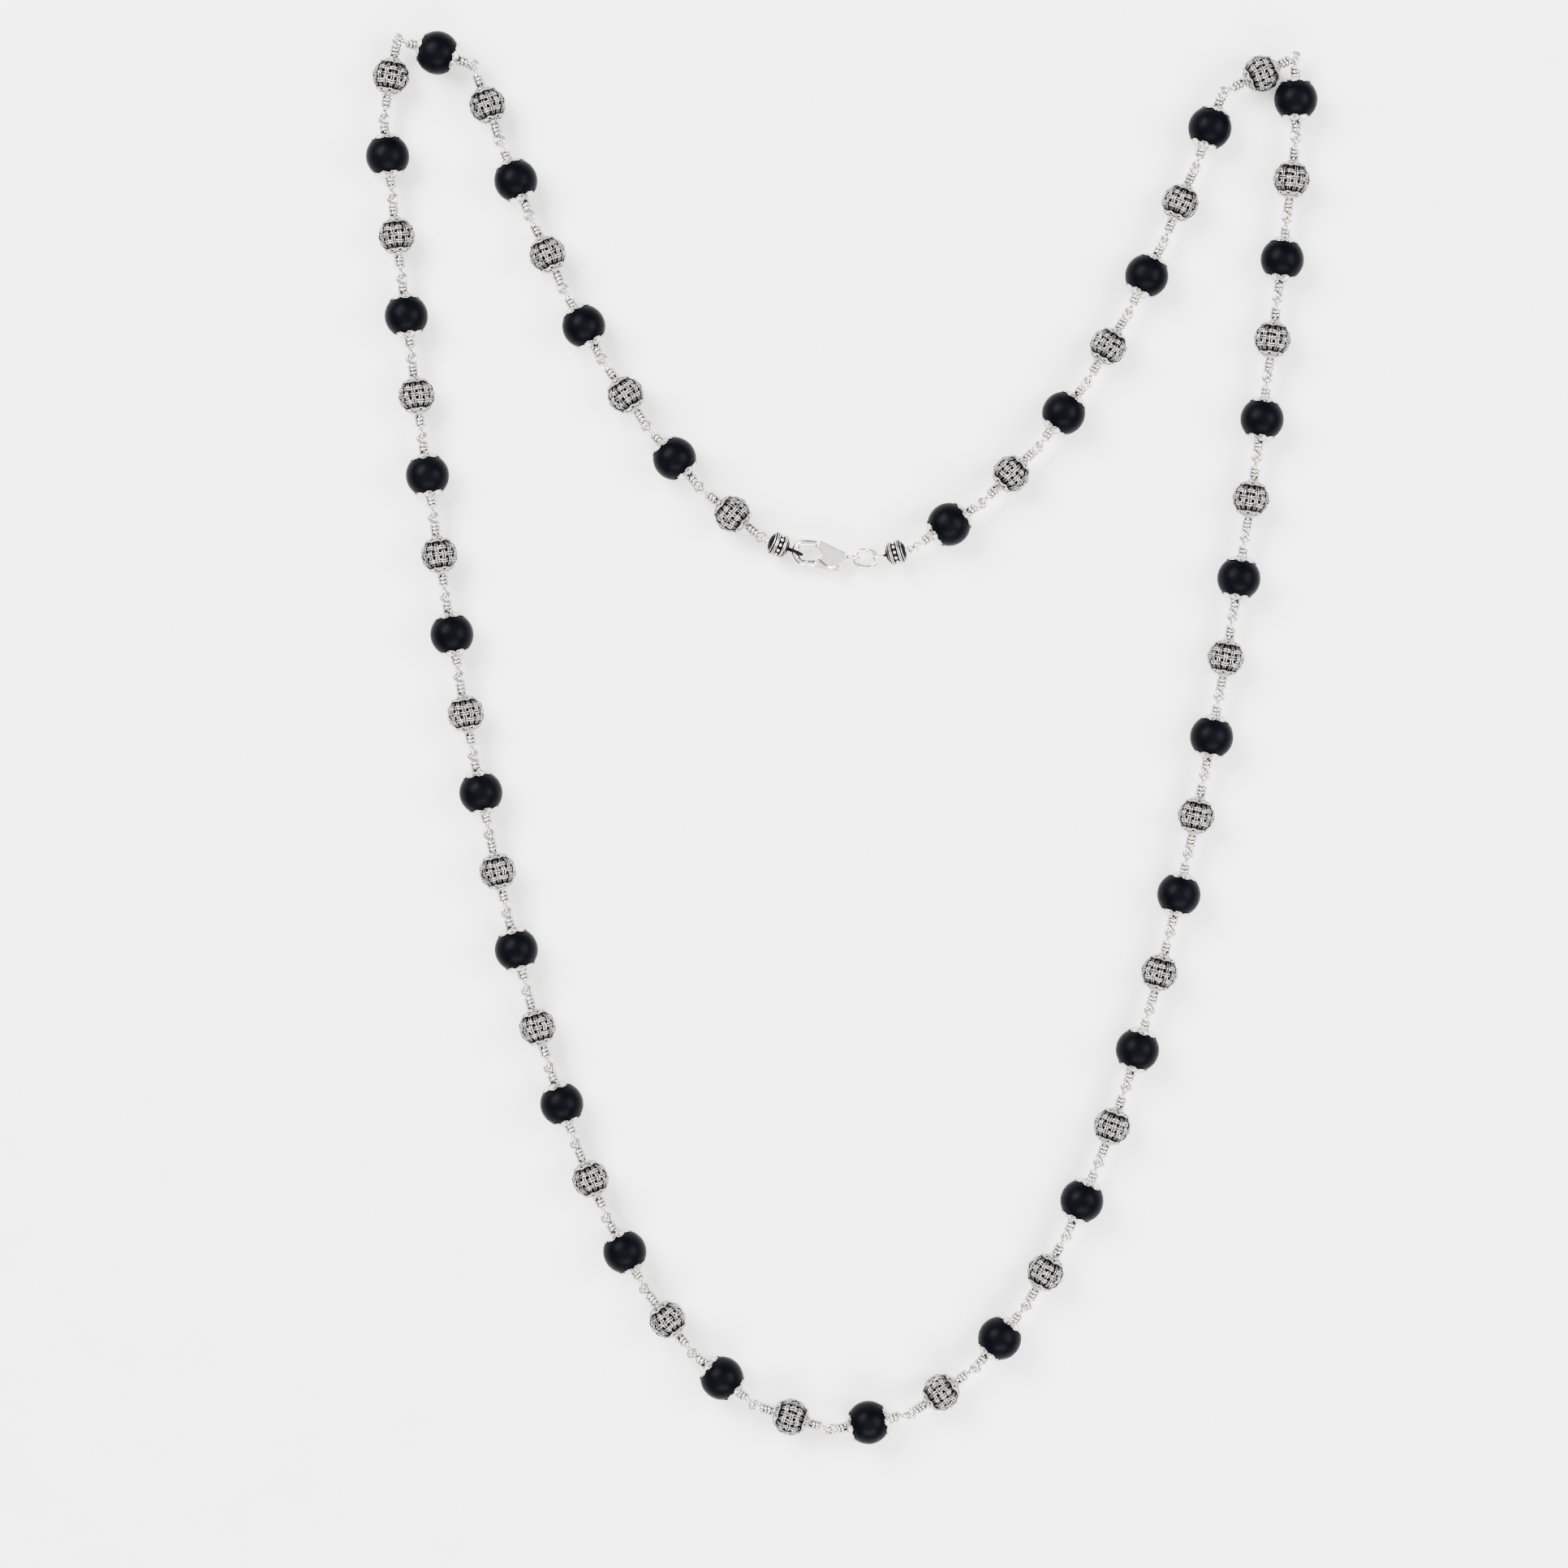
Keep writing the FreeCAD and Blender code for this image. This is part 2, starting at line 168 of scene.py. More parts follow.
class StrandFinish(bpy.types.PropertyGroup):
    """Colours and polish of the strand"""

    stone: FloatVectorProperty(
        name="Stone",
        description="Colour of the stone beads",
        default=(0.0008, 0.001, 0.0019),
        subtype="COLOR",
    )
    silver: FloatVectorProperty(
        name="Silver",
        description="Colour of the polished silver",
        default=(0.8, 0.785, 0.76),
        subtype="COLOR",
    )
    # The oxide colour is also the colour of the painted shade on the silver pieces.
    oxide_and_shade_colour: FloatVectorProperty(
        name="Oxide",
        description="Colour of the blackened recesses",
        default=(0.0015, 0.0016, 0.0024),
        subtype="COLOR",
    )
    polish: FloatProperty(
        name="Roughness",
        description="Roughness of the polished silver",
        default=0.2,
        subtype="FACTOR",
        min=0,
        max=1,
    )


# ---- materials ----


def new_material(name, colour, metallic, roughness):
    """A principled material with these values on the shader's own sockets."""
    material = bpy.data.materials.new(name)
    material.use_nodes = True
    shader = material.node_tree.nodes["Principled BSDF"]
    shader.inputs["Base Color"].default_value = (*colour, 1)
    shader.inputs["Metallic"].default_value = metallic
    shader.inputs["Roughness"].default_value = roughness
    material.diffuse_color = (*colour, 1)
    return material, material.node_tree, shader


def noise_at(tree, scale, detail=3, stretch=(1, 1, 1)):
    """A noise pattern on Object coordinates; scale counts features per metre."""
    place = tree.nodes.new("ShaderNodeTexCoord")
    mapping = tree.nodes.new("ShaderNodeMapping")
    mapping.inputs["Scale"].default_value = stretch
    pattern = tree.nodes.new("ShaderNodeTexNoise")
    pattern.inputs["Scale"].default_value = scale
    pattern.inputs["Detail"].default_value = detail
    tree.links.new(place.outputs["Object"], mapping.inputs["Vector"])
    tree.links.new(mapping.outputs["Vector"], pattern.inputs["Vector"])
    return pattern.outputs["Fac"]


def ramp(tree, value, stops):
    """Colours along a value, given as (position, colour) pairs."""
    node = tree.nodes.new("ShaderNodeValToRGB")
    marks = node.color_ramp.elements
    while len(marks) < len(stops):
        marks.new(0.5)
    for mark, (position, colour) in zip(marks, stops):
        mark.position = position
        mark.color = (*colour, 1)
    tree.links.new(value, node.inputs["Fac"])
    return node.outputs["Color"]


def spread(tree, value, low, high):
    """A 0 to 1 value stretched from low to high."""
    node = tree.nodes.new("ShaderNodeMapRange")
    node.inputs["From Min"].default_value = 0.3
    node.inputs["From Max"].default_value = 0.7
    node.inputs["To Min"].default_value = low
    node.inputs["To Max"].default_value = high
    tree.links.new(value, node.inputs["Value"])
    return node.outputs["Result"]


def bumpy(tree, shader, height, strength, distance):
    """Gives the shader a fine relief from a height pattern."""
    node = tree.nodes.new("ShaderNodeBump")
    node.inputs["Strength"].default_value = strength
    node.inputs["Distance"].default_value = distance
    tree.links.new(height, node.inputs["Height"])
    tree.links.new(node.outputs["Normal"], shader.inputs["Normal"])


def mixed(tree, factor, low, high):
    """A colour between two colours, each a constant or a socket."""
    node = tree.nodes.new("ShaderNodeMix")
    node.data_type = "RGBA"
    tree.links.new(factor, node.inputs["Factor"])
    for socket, value in ((node.inputs["A"], low), (node.inputs["B"], high)):
        if isinstance(value, bpy.types.NodeSocket):
            tree.links.new(value, socket)
        else:
            socket.default_value = (*value, 1)
    return node.outputs["Result"]


def oxide_and_painted_shade_of(tree):
    """How dark the surface is painted, as oxide and as painted shade, from the piece's own attribute."""
    node = tree.nodes.new("ShaderNodeAttribute")
    node.attribute_name = "oxide_and_painted_shade"
    return node.outputs["Fac"]


def silver_material(name, finish, roughness, worn, dull_and_shade=1.0):
    """Polished silver with fine handling marks, painted dark where the piece's attribute says, as oxide and
    as painted shade.
    """
    # The dull factor darkens the whole silver, partly as duller metal and partly as painted shade.
    silver = tuple(c * dull_and_shade for c in finish.silver)
    material, tree, shader = new_material(name, silver, 1, roughness)
    warm = tuple(c * k for c, k in zip(silver, WARM_TINT))
    clouds = ramp(tree, noise_at(tree, 420, 4), [(0.35, warm), (0.6, silver)])
    # Painted shade and oxide: the silver is mixed towards the dark colour by the piece's attribute.
    colour = mixed(tree, oxide_and_painted_shade_of(tree), clouds, tuple(finish.oxide_and_shade_colour))
    tree.links.new(colour, shader.inputs["Base Color"])
    marks = noise_at(tree, 2600, 5, (1, 0.35, 1))
    tree.links.new(spread(tree, marks, roughness - 0.06, roughness + worn), shader.inputs["Roughness"])
    bumpy(tree, shader, noise_at(tree, 900, 3), 0.35, 0.04 * MM)
    return material


def stone_material(finish):
    """Satin black stone with faint cloudy bands and small pits."""
    material, tree, shader = new_material("satin_stone", finish.stone, 0, 0.36)
    shader.inputs["Specular IOR Level"].default_value = 0.02
    lighter = tuple(c * 1.6 + 0.0003 for c in finish.stone)
    clouds = ramp(tree, noise_at(tree, 260, 6, (1, 1, 2.2)), [(0.42, tuple(finish.stone)), (0.75, lighter)])
    cells = tree.nodes.new("ShaderNodeTexVoronoi")
    cells.inputs["Scale"].default_value = 700
    place = tree.nodes.new("ShaderNodeTexCoord")
    tree.links.new(place.outputs["Object"], cells.inputs["Vector"])
    pits = ramp(tree, cells.outputs["Distance"], [(0.03, (1, 1, 1)), (0.09, (0, 0, 0))])
    tree.links.new(mixed(tree, pits, clouds, (0.006, 0.006, 0.007)), shader.inputs["Base Color"])
    tree.links.new(spread(tree, noise_at(tree, 1500, 5), 0.3, 0.45), shader.inputs["Roughness"])
    bumpy(tree, shader, noise_at(tree, 1900, 4), 0.12, 0.02 * MM)
    return material


def oxide_material(finish):
    """Blackened silver in the recesses, with a dull skin that is rubbed brighter in places."""
    material, tree, shader = new_material("blackened_silver", finish.oxide_and_shade_colour, 0, 0.45)
    shader.inputs["Specular IOR Level"].default_value = 0.03
    rubbed = tuple(c * 3 + 0.001 for c in finish.oxide_and_shade_colour)
    colour = ramp(tree, noise_at(tree, 1400, 5), [(0.45, tuple(finish.oxide_and_shade_colour)), (0.8, rubbed)])
    tree.links.new(colour, shader.inputs["Base Color"])
    tree.links.new(spread(tree, noise_at(tree, 2200, 3), 0.35, 0.6), shader.inputs["Roughness"])
    bumpy(tree, shader, noise_at(tree, 2600, 4), 0.1, 0.02 * MM)
    return material


def material(name):
    """One of the strand's materials, made when it is first asked for."""
    if name not in bpy.data.materials:
        finish = bpy.context.scene.strand_finish
        makers = {
            "bright_silver": lambda: silver_material(name, finish, finish.polish, 0.1),
            # The wire and weave silvers are darker copies of the same silver, partly duller metal and
            # partly painted shade.
            "wire_silver": lambda: silver_material(name, finish, finish.polish, 0.1, 0.72),
            "weave_silver": lambda: silver_material(name, finish, finish.polish + 0.06, 0.12, 0.55),
            "cast_silver": lambda: silver_material(name, finish, finish.polish - 0.03, 0.12),
            "satin_stone": lambda: stone_material(finish),
            "blackened_silver": lambda: oxide_material(finish),
        }
        makers[name]()
    return bpy.data.materials[name]


# ---- shaping ----


def new_shape():
    """An empty bmesh with a layer that says how dark each point is painted, as oxide and as painted shade.
    """
    bm = bmesh.new()
    bm.verts.layers.float.new("oxide_and_painted_shade")
    return bm


def finished_mesh(bm, name, materials, oxide_and_painted_shade=None):
    """A smooth mesh from a bmesh, with outward faces and its materials; the given function paints each
    point dark by place, as oxide and as painted shade.
    """
    layer = bm.verts.layers.float.get("oxide_and_painted_shade") or bm.verts.layers.float.new("oxide_and_painted_shade")
    if oxide_and_painted_shade:
        for vertex in bm.verts:
            vertex[layer] = min(max(oxide_and_painted_shade(vertex.co), 0), 1)
    bmesh.ops.recalc_face_normals(bm, faces=bm.faces)
    for face in bm.faces:
        face.smooth = True
    mesh = bpy.data.meshes.new(name)
    bm.to_mesh(mesh)
    bm.free()
    for each in materials:
        mesh.materials.append(material(each))
    return mesh


def set_piece(name, mesh, matrix, body, node):
    """Puts a copy of a mesh in its place as a piece that rides on a body."""
    placed = mesh.copy()
    placed.transform(matrix)
    placed.name = name
    piece = bpy.data.objects.new(name, placed)
    bpy.context.collection.objects.link(piece)
    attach(piece, body)
    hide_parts(node)
    return piece


def smooth_line(points, rounds=2):
    """The points with each corner drawn towards its neighbours, ends kept."""
    for _ in range(rounds):
        inner = [(a + 2 * b + c) / 4 for a, b, c in zip(points, points[1:], points[2:])]
        points = [points[0], *inner, points[-1]]
    return points


def rod(bm, points, radius, sides=8, closed=False, width=None, shade=None):
    """A round rod along the points.

    width gives its relative thickness from 0 to 1 along it. shade gives how dark a point is painted, as
    painted shade, from its offset from the rod's middle line and from its place on that line.
    """
    count = len(points)
    ahead = [points[(i + 1) % count] if closed or i + 1 < count else points[i] for i in range(count)]
    behind = [points[i - 1] if closed or i else points[0] for i in range(count)]
    headings = [(a - b).normalized() for a, b in zip(ahead, behind)]
    turn = Z.rotation_difference(headings[0]).to_matrix().to_4x4()
    here = Matrix.Translation(points[0]) @ turn
    size = width(0) if width else 1
    rings = [bmesh.ops.create_circle(bm, segments=sides, radius=radius * size, matrix=here)["verts"]]
    first = edges = list({edge for vertex in rings[0] for edge in vertex.link_edges})
    for i in range(1, count):
        made = bmesh.ops.extrude_edge_only(bm, edges=edges)["geom"]
        rings.append([g for g in made if isinstance(g, bmesh.types.BMVert)])
        fresh = set(rings[-1])
        edges = [g for g in made if isinstance(g, bmesh.types.BMEdge) and set(g.verts) <= fresh]
        spin = headings[i - 1].rotation_difference(headings[i]).to_matrix().to_4x4()
        new_size = width(i / (count - 1)) if width else 1
        grow = Matrix.Scale(new_size / size, 4)
        move = Matrix.Translation(points[i]) @ spin @ grow @ Matrix.Translation(-points[i - 1])
        size = new_size
        bmesh.ops.transform(bm, matrix=move, verts=rings[-1])
    # Painted shade from shade() is written into each point of the rod.
    if shade:
        layer = bm.verts.layers.float["oxide_and_painted_shade"]
        for middle, ring in zip(points, rings):
            for vertex in ring:
                vertex[layer] = min(max(shade(vertex.co - middle, middle), 0), 1)
    if closed:
        bmesh.ops.bridge_loops(bm, edges=first + edges)
        return
    for end, out in ((first, -headings[0]), (edges, headings[-1])):
        cap = bmesh.ops.contextual_create(bm, geom=end)["faces"]
        bmesh.ops.inset_region(bm, faces=cap, thickness=radius * 0.4, depth=0)
        tip = list({vertex for face in cap for vertex in face.verts})
        bmesh.ops.translate(bm, vec=out * radius * 0.35, verts=tip)


def box_of(bm, low, high):
    """A box between two corners in millimetres."""
    low, high = Vector(low) * MM, Vector(high) * MM
    place = Matrix.Translation((low + high) / 2) @ Matrix.Diagonal((*(high - low), 1))
    bmesh.ops.create_cube(bm, size=1, matrix=place)


def circle_points(centre, radius, side, up, count, start=0.0, sweep=math.tau, ends=False):
    """Points round a circle from start by sweep, in the plane of side and up."""
    steps = count - 1 if ends else count
    angles = [start + sweep * i / steps for i in range(count)]
    return [centre + side * radius * math.cos(a) + up * radius * math.sin(a) for a in angles]


def turned(bm, profile, steps=48):
    """A body turned round X from (x, radius) pairs; an end at radius 0 closes it."""
    verts = [bm.verts.new((x, 0, r)) for x, r in profile]
    edges = [bm.edges.new(pair) for pair in zip(verts, verts[1:])]
    bmesh.ops.spin(
        bm, geom=verts + edges, cent=(0, 0, 0), axis=X, angle=math.tau, steps=steps, use_merge=True
    )


def off_axis(co):
    """How far a point lies from the X axis."""
    return math.hypot(co.y, co.z)


# ---- link wires ----


def wire_line(turns, lean):
    """The middle line of one link's wire: wrap, loop, core, loop, wrap."""
    coil_r = COIL_RATIO * bpy.context.scene.strand_sizes.wire
    ends = []
    for out, side, up in ((-X, Y, Z), (X, Z, Y)):
        centre = out * EYE_REACH
        loop = circle_points(centre, LOOP_R, out, side, 21, -LOOP_SWEEP / 2, LOOP_SWEEP, ends=True)
        into_loop = [out * (WRAP_END + 0.1 * MM), out * (WRAP_END + 0.35 * MM) - side * 0.12 * MM]
        wrap = []
        for i in range(round(turns * WRAP_STEPS) + 1):
            a = i * math.tau / WRAP_STEPS
            tilt = lean * MM * math.sin(a)
            x = WRAP_END - 0.05 * MM - i / WRAP_STEPS * WRAP_PITCH + tilt
            wrap.append(out * x + side * coil_r * math.cos(a) + up * coil_r * math.sin(a))
        tucked = wrap[-1] * 0.7 + wrap[-2] * 0.3 + out * -0.1 * MM
        wrap[-1] = tucked
        back = [out * (WRAP_END + 0.28 * MM) + side * coil_r * 0.96]
        ends.append((into_loop, smooth_line(loop + back + wrap, 1)))
    (into_start, start), (into_end, end) = ends
    core = [X * (x * MM) for x in (-5.5, 0, 5.5)]
    return [*reversed(start), *reversed(into_start), *core, *into_end, *end]


def wire_mesh(turns, lean):
    """One link's wire, with this many turns in each wrap."""
    wire = bpy.context.scene.strand_sizes.wire
    bm = new_shape()

    def shade(offset, middle):
        """Painted shade: darker between a wrap's turns, and along the flanks of the whole wire, where shade
        falls.
        """
        out = Vector((0, middle.y, middle.z))
        painted_flank_shade = 1 - 1.6 * abs(offset.z) / (wire / 2)
        if abs(middle.x) > WRAP_END + 0.2 * MM or out.length < wire / 2:
            return painted_flank_shade
        return max(painted_flank_shade, 1.3 - 2 * offset.dot(out.normalized()) / (wire / 2))

    rod(bm, wire_line(turns, lean), wire / 2, sides=12, shade=shade)
    return finished_mesh(bm, "link_wire", ["wire_silver"])


# ---- beads ----


def stone_mesh():
    """A satin stone ball, drilled along X, with slightly eased rims at the drill hole."""
    radius = bpy.context.scene.strand_sizes.stone / 2
    bm = new_shape()
    on_x = Matrix.Rotation(QUARTER, 4, "Y")
    bmesh.ops.create_uvsphere(bm, u_segments=48, v_segments=32, radius=radius, matrix=on_x)
    for vertex in bm.verts:
        worn = abs(noise.noise(vertex.co * 260)) * 0.04 * MM
        vertex.co -= vertex.co.normalized() * worn
    poles = [v for v in bm.verts if off_axis(v.co) < BORE_R * 0.6]
    bmesh.ops.delete(bm, geom=poles, context="VERTS")
    rims = [e for e in bm.edges if e.is_boundary]
    made = bmesh.ops.extrude_edge_only(bm, edges=rims)["geom"]
    inner = [g for g in made if isinstance(g, bmesh.types.BMVert)]
    for vertex in inner:
        vertex.co.x *= 0.93
    bmesh.ops.bridge_loops(bm, edges=[e for e in bm.edges if e.is_boundary])
    return finished_mesh(bm, "stone_bead", ["satin_stone"])


def petal_edge(angle):
    """How far the cap's scalloped edge lies from the axis at an angle round it."""
    part = math.tau / PETALS
    off = (angle + part / 2) % part - part / 2
    across = PETAL_RING_R * math.sin(off)
    return PETAL_RING_R * math.cos(off) + math.sqrt(PETAL_R**2 - across**2)


def cap_mesh():
    """A thin domed cap with eight round petals, creased between them, and a raised collar."""
    radius = bpy.context.scene.strand_sizes.stone / 2 + 0.04 * MM
    bm = new_shape()
    segments = PETALS * 8
    disc = bmesh.ops.create_circle(bm, segments=segments, radius=BORE_R)["verts"]
    ring = list({edge for vertex in disc for edge in vertex.link_edges})
    shares = (0.18, 0.34, 0.5, 0.64, 0.77, 0.88, 0.96, 1.0)
    for share in shares:
        made = bmesh.ops.extrude_edge_only(bm, edges=ring)["geom"]
        verts = [g for g in made if isinstance(g, bmesh.types.BMVert)]
        fresh = set(verts)
        ring = [g for g in made if isinstance(g, bmesh.types.BMEdge) and set(g.verts) <= fresh]
        for vertex in verts:
            a = math.atan2(vertex.co.y, vertex.co.x)
            reach = BORE_R + (petal_edge(a) - BORE_R) * share
            vertex.co = Vector((math.cos(a), math.sin(a), 0)) * reach
    for vertex in bm.verts:
        away = vertex.co.length
        a = math.atan2(vertex.co.y, vertex.co.x)
        edge = petal_edge(a)
        crown = math.cos(PETALS * a / 2) ** 2
        dome = crown * math.sin(math.pi * min(away / edge, 1)) * PETAL_DOME
        lift = CAP_COLLAR * max(0, 1 - (away - BORE_R) / (0.7 * MM))
        sag = CREASE_DEPTH * (1 - crown)
        height = math.sqrt(radius**2 - away**2) + dome + lift - sag
        vertex.co = Vector((height, vertex.co.y, -vertex.co.x))
    bmesh.ops.recalc_face_normals(bm, faces=bm.faces)
    if sum(f.normal.x for f in bm.faces) < 0:
        bmesh.ops.reverse_faces(bm, faces=bm.faces)
    bmesh.ops.solidify(bm, geom=bm.faces[:], thickness=-CAP_THICK * 0.6)

    # Painted dark in the creases between the petals, partly oxide and partly painted shade, and painted
    # shade along the petals' outer edges as a dark outline.
    def oxide_and_painted_shade(co):
        a = math.atan2(co.y, -co.z)
        crease = math.sin(PETALS * a / 2) ** 8
        near = min(off_axis(co) / petal_edge(a), 1)
        return max(0.8 * crease * math.sin(math.pi * near), 5 * near - 4.4)

    return finished_mesh(bm, "bead_cap", ["bright_silver"], oxide_and_painted_shade)


def on_ball(radius, latitude, longitude):
    """A point on a ball whose axis is X."""
    out = radius * math.cos(latitude)
    return Vector((radius * math.sin(latitude), out * math.cos(longitude), out * math.sin(longitude)))


def weave_radius(column, row, sign):
    """How far out a wire lies where it crosses at this column and row, both counted in real numbers."""
    top = bpy.context.scene.strand_sizes.woven / 2 - WEAVE_WIRE_R - WEAVE_DEPTH
    return top + sign * WEAVE_DEPTH * math.cos(math.pi * column) * math.cos(math.pi * row)


def weave_painted_shade(offset, middle):
    """Painted shade of a weave wire: bright on the outside, painted black on its sides and underneath,
    where shade falls.
    """
    return (WEAVE_SHADE_START - offset.dot(middle.normalized()) / WEAVE_WIRE_R) / WEAVE_SHADE_FADE


def weave_across(bm):
    """The three rows of double wires that run round the bead."""
    middle = bpy.context.scene.strand_sizes.woven / 2
    for row in (-1, 0, 1):
        for side in (-1, 1):
            latitude = row * ROW_STEP + side * WIRE_SPREAD / middle
            points = []
            for i in range(COLUMNS * 6):
                column = i / 6
                radius = weave_radius(column, row, 1)
                points.append(on_ball(radius, latitude, column * math.tau / COLUMNS))
            rod(bm, points, WEAVE_WIRE_R, sides=8, closed=True, shade=weave_painted_shade)


def weave_along(bm):
    """The sixteen double wires that run from collar to collar, thinner towards the collars."""
    reach = COLLAR_INNER + math.radians(2)
    count = 25
    for column in range(COLUMNS):
        for side in (-1, 1):
            points = []
            for i in range(count):
                share = 2 * i / (count - 1) - 1
                latitude = reach * share
                row = latitude / ROW_STEP
                radius = weave_radius(column, row if abs(row) < 1.5 else 1.5, -1)
                spacing = WIRE_SPREAD / (radius * math.cos(latitude)) * (1 - 0.28 * share**2)
                points.append(on_ball(radius, latitude, column * math.tau / COLUMNS + side * spacing))
            rod(bm, points, WEAVE_WIRE_R, 8, width=lambda s: 1 - 0.28 * (2 * s - 1) ** 2, shade=weave_painted_shade)


def collar(bm, end):
    """A plain collar with a scalloped edge, eight rimmed holes and a stepped neck."""
    ball = bpy.context.scene.strand_sizes.woven / 2 - 0.06 * MM
    steps, rows = COLUMNS * 4, 6
    profile = []
    for i in range(rows + 1):
        p = on_ball(ball, end * (COLLAR_INNER + (COLLAR_OUTER - COLLAR_INNER) * i / rows), QUARTER)
        profile.append((p.x, p.z))
    inner, outer = profile[0], profile[-1]
    profile.insert(0, (inner[0] - end * 0.02 * MM, inner[1] - 0.35 * MM))
    profile.append((outer[0] + end * 0.06 * MM, outer[1] - 0.12 * MM))
    profile.append((outer[0] - end * 0.2 * MM, outer[1] - 0.2 * MM))
    before = set(bm.verts)
    turned(bm, profile, steps)
    layer = bm.verts.layers.float["oxide_and_painted_shade"]
    # Points off the collar's middle band, at its edges by the weave and the neck, are painted fully dark.
    for vertex in set(bm.verts) - before:
        latitude = math.atan2(abs(vertex.co.x), off_axis(vertex.co))
        if not COLLAR_INNER + math.radians(1) < latitude < COLLAR_OUTER - math.radians(2):
            vertex[layer] = 1
        if latitude < COLLAR_INNER + math.radians(2):
            a = math.atan2(vertex.co.z, vertex.co.y)
            vertex.co.x += end * 0.2 * MM * math.cos(COLLAR_HOLES * a)
    neck = [(3.66, 0.5), (3.66, 1.5), (3.78, 1.62), (3.98, 1.6), (4.1, 1.42), (4.32, 1.3), (4.52, 1.1)]
    turned(bm, [(end * x * MM, r * MM) for x, r in (*neck, (4.58, 0.95), (4.58, 0.5))], steps // 2)
    for n in range(COLLAR_HOLES):
        out = on_ball(1, end * COLLAR_MIDDLE, math.tau * (n + 0.5) / COLLAR_HOLES)
        side = out.cross(X).normalized()
        middle = out * (ball + 0.01 * MM)
        ring = circle_points(middle, COLLAR_HOLE_R, side, out.cross(side), 12)
        rod(bm, ring, HOLE_RIM_R, sides=5, closed=True)


def woven_silver_mesh():
    """The woven bead's silver: its two collars and the wires between them."""
    bm = new_shape()
    for end in (-1, 1):
        collar(bm, end)
    weave_across(bm)
    weave_along(bm)
    return finished_mesh(bm, "woven_bead", ["weave_silver"])


def woven_core_mesh():
    """The blackened ball that shows through the weave, with dark plugs in the collars' holes."""
    ball = bpy.context.scene.strand_sizes.woven / 2
    radius = ball - 2 * WEAVE_WIRE_R - 1.1 * WEAVE_DEPTH
    bm = new_shape()
    on_x = Matrix.Rotation(QUARTER, 4, "Y")
    bmesh.ops.create_uvsphere(bm, u_segments=32, v_segments=20, radius=radius, matrix=on_x)
    poles = [v for v in bm.verts if off_axis(v.co) < BORE_R]
    bmesh.ops.delete(bm, geom=poles, context="VERTS")
    bmesh.ops.bridge_loops(bm, edges=[e for e in bm.edges if e.is_boundary])
    disc = {"cap_ends": True, "segments": 12, "radius1": HOLE_PLUG_R, "radius2": HOLE_PLUG_R}
    for end in (-1, 1):
        for n in range(COLLAR_HOLES):
            out = on_ball(1, end * COLLAR_MIDDLE, math.tau * (n + 0.5) / COLLAR_HOLES)
            turn = Z.rotation_difference(out).to_matrix().to_4x4()
            at = Matrix.Translation(out * (ball - 0.13 * MM)) @ turn
            bmesh.ops.create_cone(bm, depth=0.2 * MM, matrix=at, **disc)
        plate = ((3.1, 0.5), (3.1, 2.2), (3.6, 2.1), (3.64, 1.95), (3.64, 0.5))
        turned(bm, [(end * x * MM, r * MM) for x, r in plate], 32)
    return finished_mesh(bm, "woven_core", ["blackened_silver"])


# ---- barrels, ring and clasp ----


def barrel_mesh(bail, strand_loop):
    """Silver rims, granules and loops in one mesh; bail is the bail's material index."""
    bm = new_shape()
    for low, high, radius in BARREL_RIMS:
        rim = [(low, RIM_FOOT_R), (low, radius - RIM_SOFT), (low + RIM_SOFT, radius)]
        rim += [(high - RIM_SOFT, radius), (high, radius - RIM_SOFT), (high, RIM_FOOT_R)]
        turned(bm, [(x * MM, r * MM) for x, r in rim], 48)
    for n in range(GRANULES):
        a = math.tau * n / GRANULES
        at = Vector((GRANULE_X, GRANULE_RING_R * math.cos(a), GRANULE_RING_R * math.sin(a)))
        bmesh.ops.create_icosphere(bm, subdivisions=2, radius=GRANULE_R, matrix=Matrix.Translation(at))
    if strand_loop == "pin":
        loop = circle_points(X * LOOP_R, LOOP_R, X, Z, 28)
        stem_start = 1.9
    else:
        loop = circle_points(X * 0, LOOP_R, X, Y, 28)
        stem_start = 1.2
    rod(bm, loop, BAIL_WIRE_R, 10, closed=True)
    rod(bm, [X * (x * MM) for x in (stem_start, 2.2, 3.2)], STEM_R, 10)
    faces = len(bm.faces)
    rod(bm, circle_points(X * BAIL_X, BAIL_R, X, Z, 36), BAIL_WIRE_R, 12, closed=True)
    bm.faces.ensure_lookup_table()
    for face in bm.faces[faces:]:
        face.material_index = bail

    def oxide_and_painted_shade(co):
        """Bright on the loops and the rims' crests, blackened towards the axis in the barrel."""
        if co.x < 2.6 * MM:
            return 0.1 if co.x > 2.2 * MM else 0.0
        return 0.0 if co.x > 6.6 * MM else (2.2 * MM - off_axis(co)) / (0.4 * MM)

    return finished_mesh(bm, "barrel", ["bright_silver", "blackened_silver"], oxide_and_painted_shade)


def barrel_core_mesh():
    """The blackened body that shows between the rims and behind the granules."""
    steps = ((1.9, 0.4), (1.9, 1.1), (2.1, 1.6), (2.35, 1.75), (2.4, 2.15), (2.8, 2.3), (2.85, 2.65))
    steps += ((3.5, 2.7), (3.55, 2.4), (4.85, 2.4), (4.9, 2.7), (5.55, 2.65), (5.6, 2.3), (6.0, 2.1))
    steps += ((6.05, 1.7), (6.35, 1.5), (6.5, 1.0), (6.5, 0.4))
    bm = new_shape()
    turned(bm, [(x * MM, r * MM) for x, r in steps], 48)
    return finished_mesh(bm, "barrel_core", ["blackened_silver"])


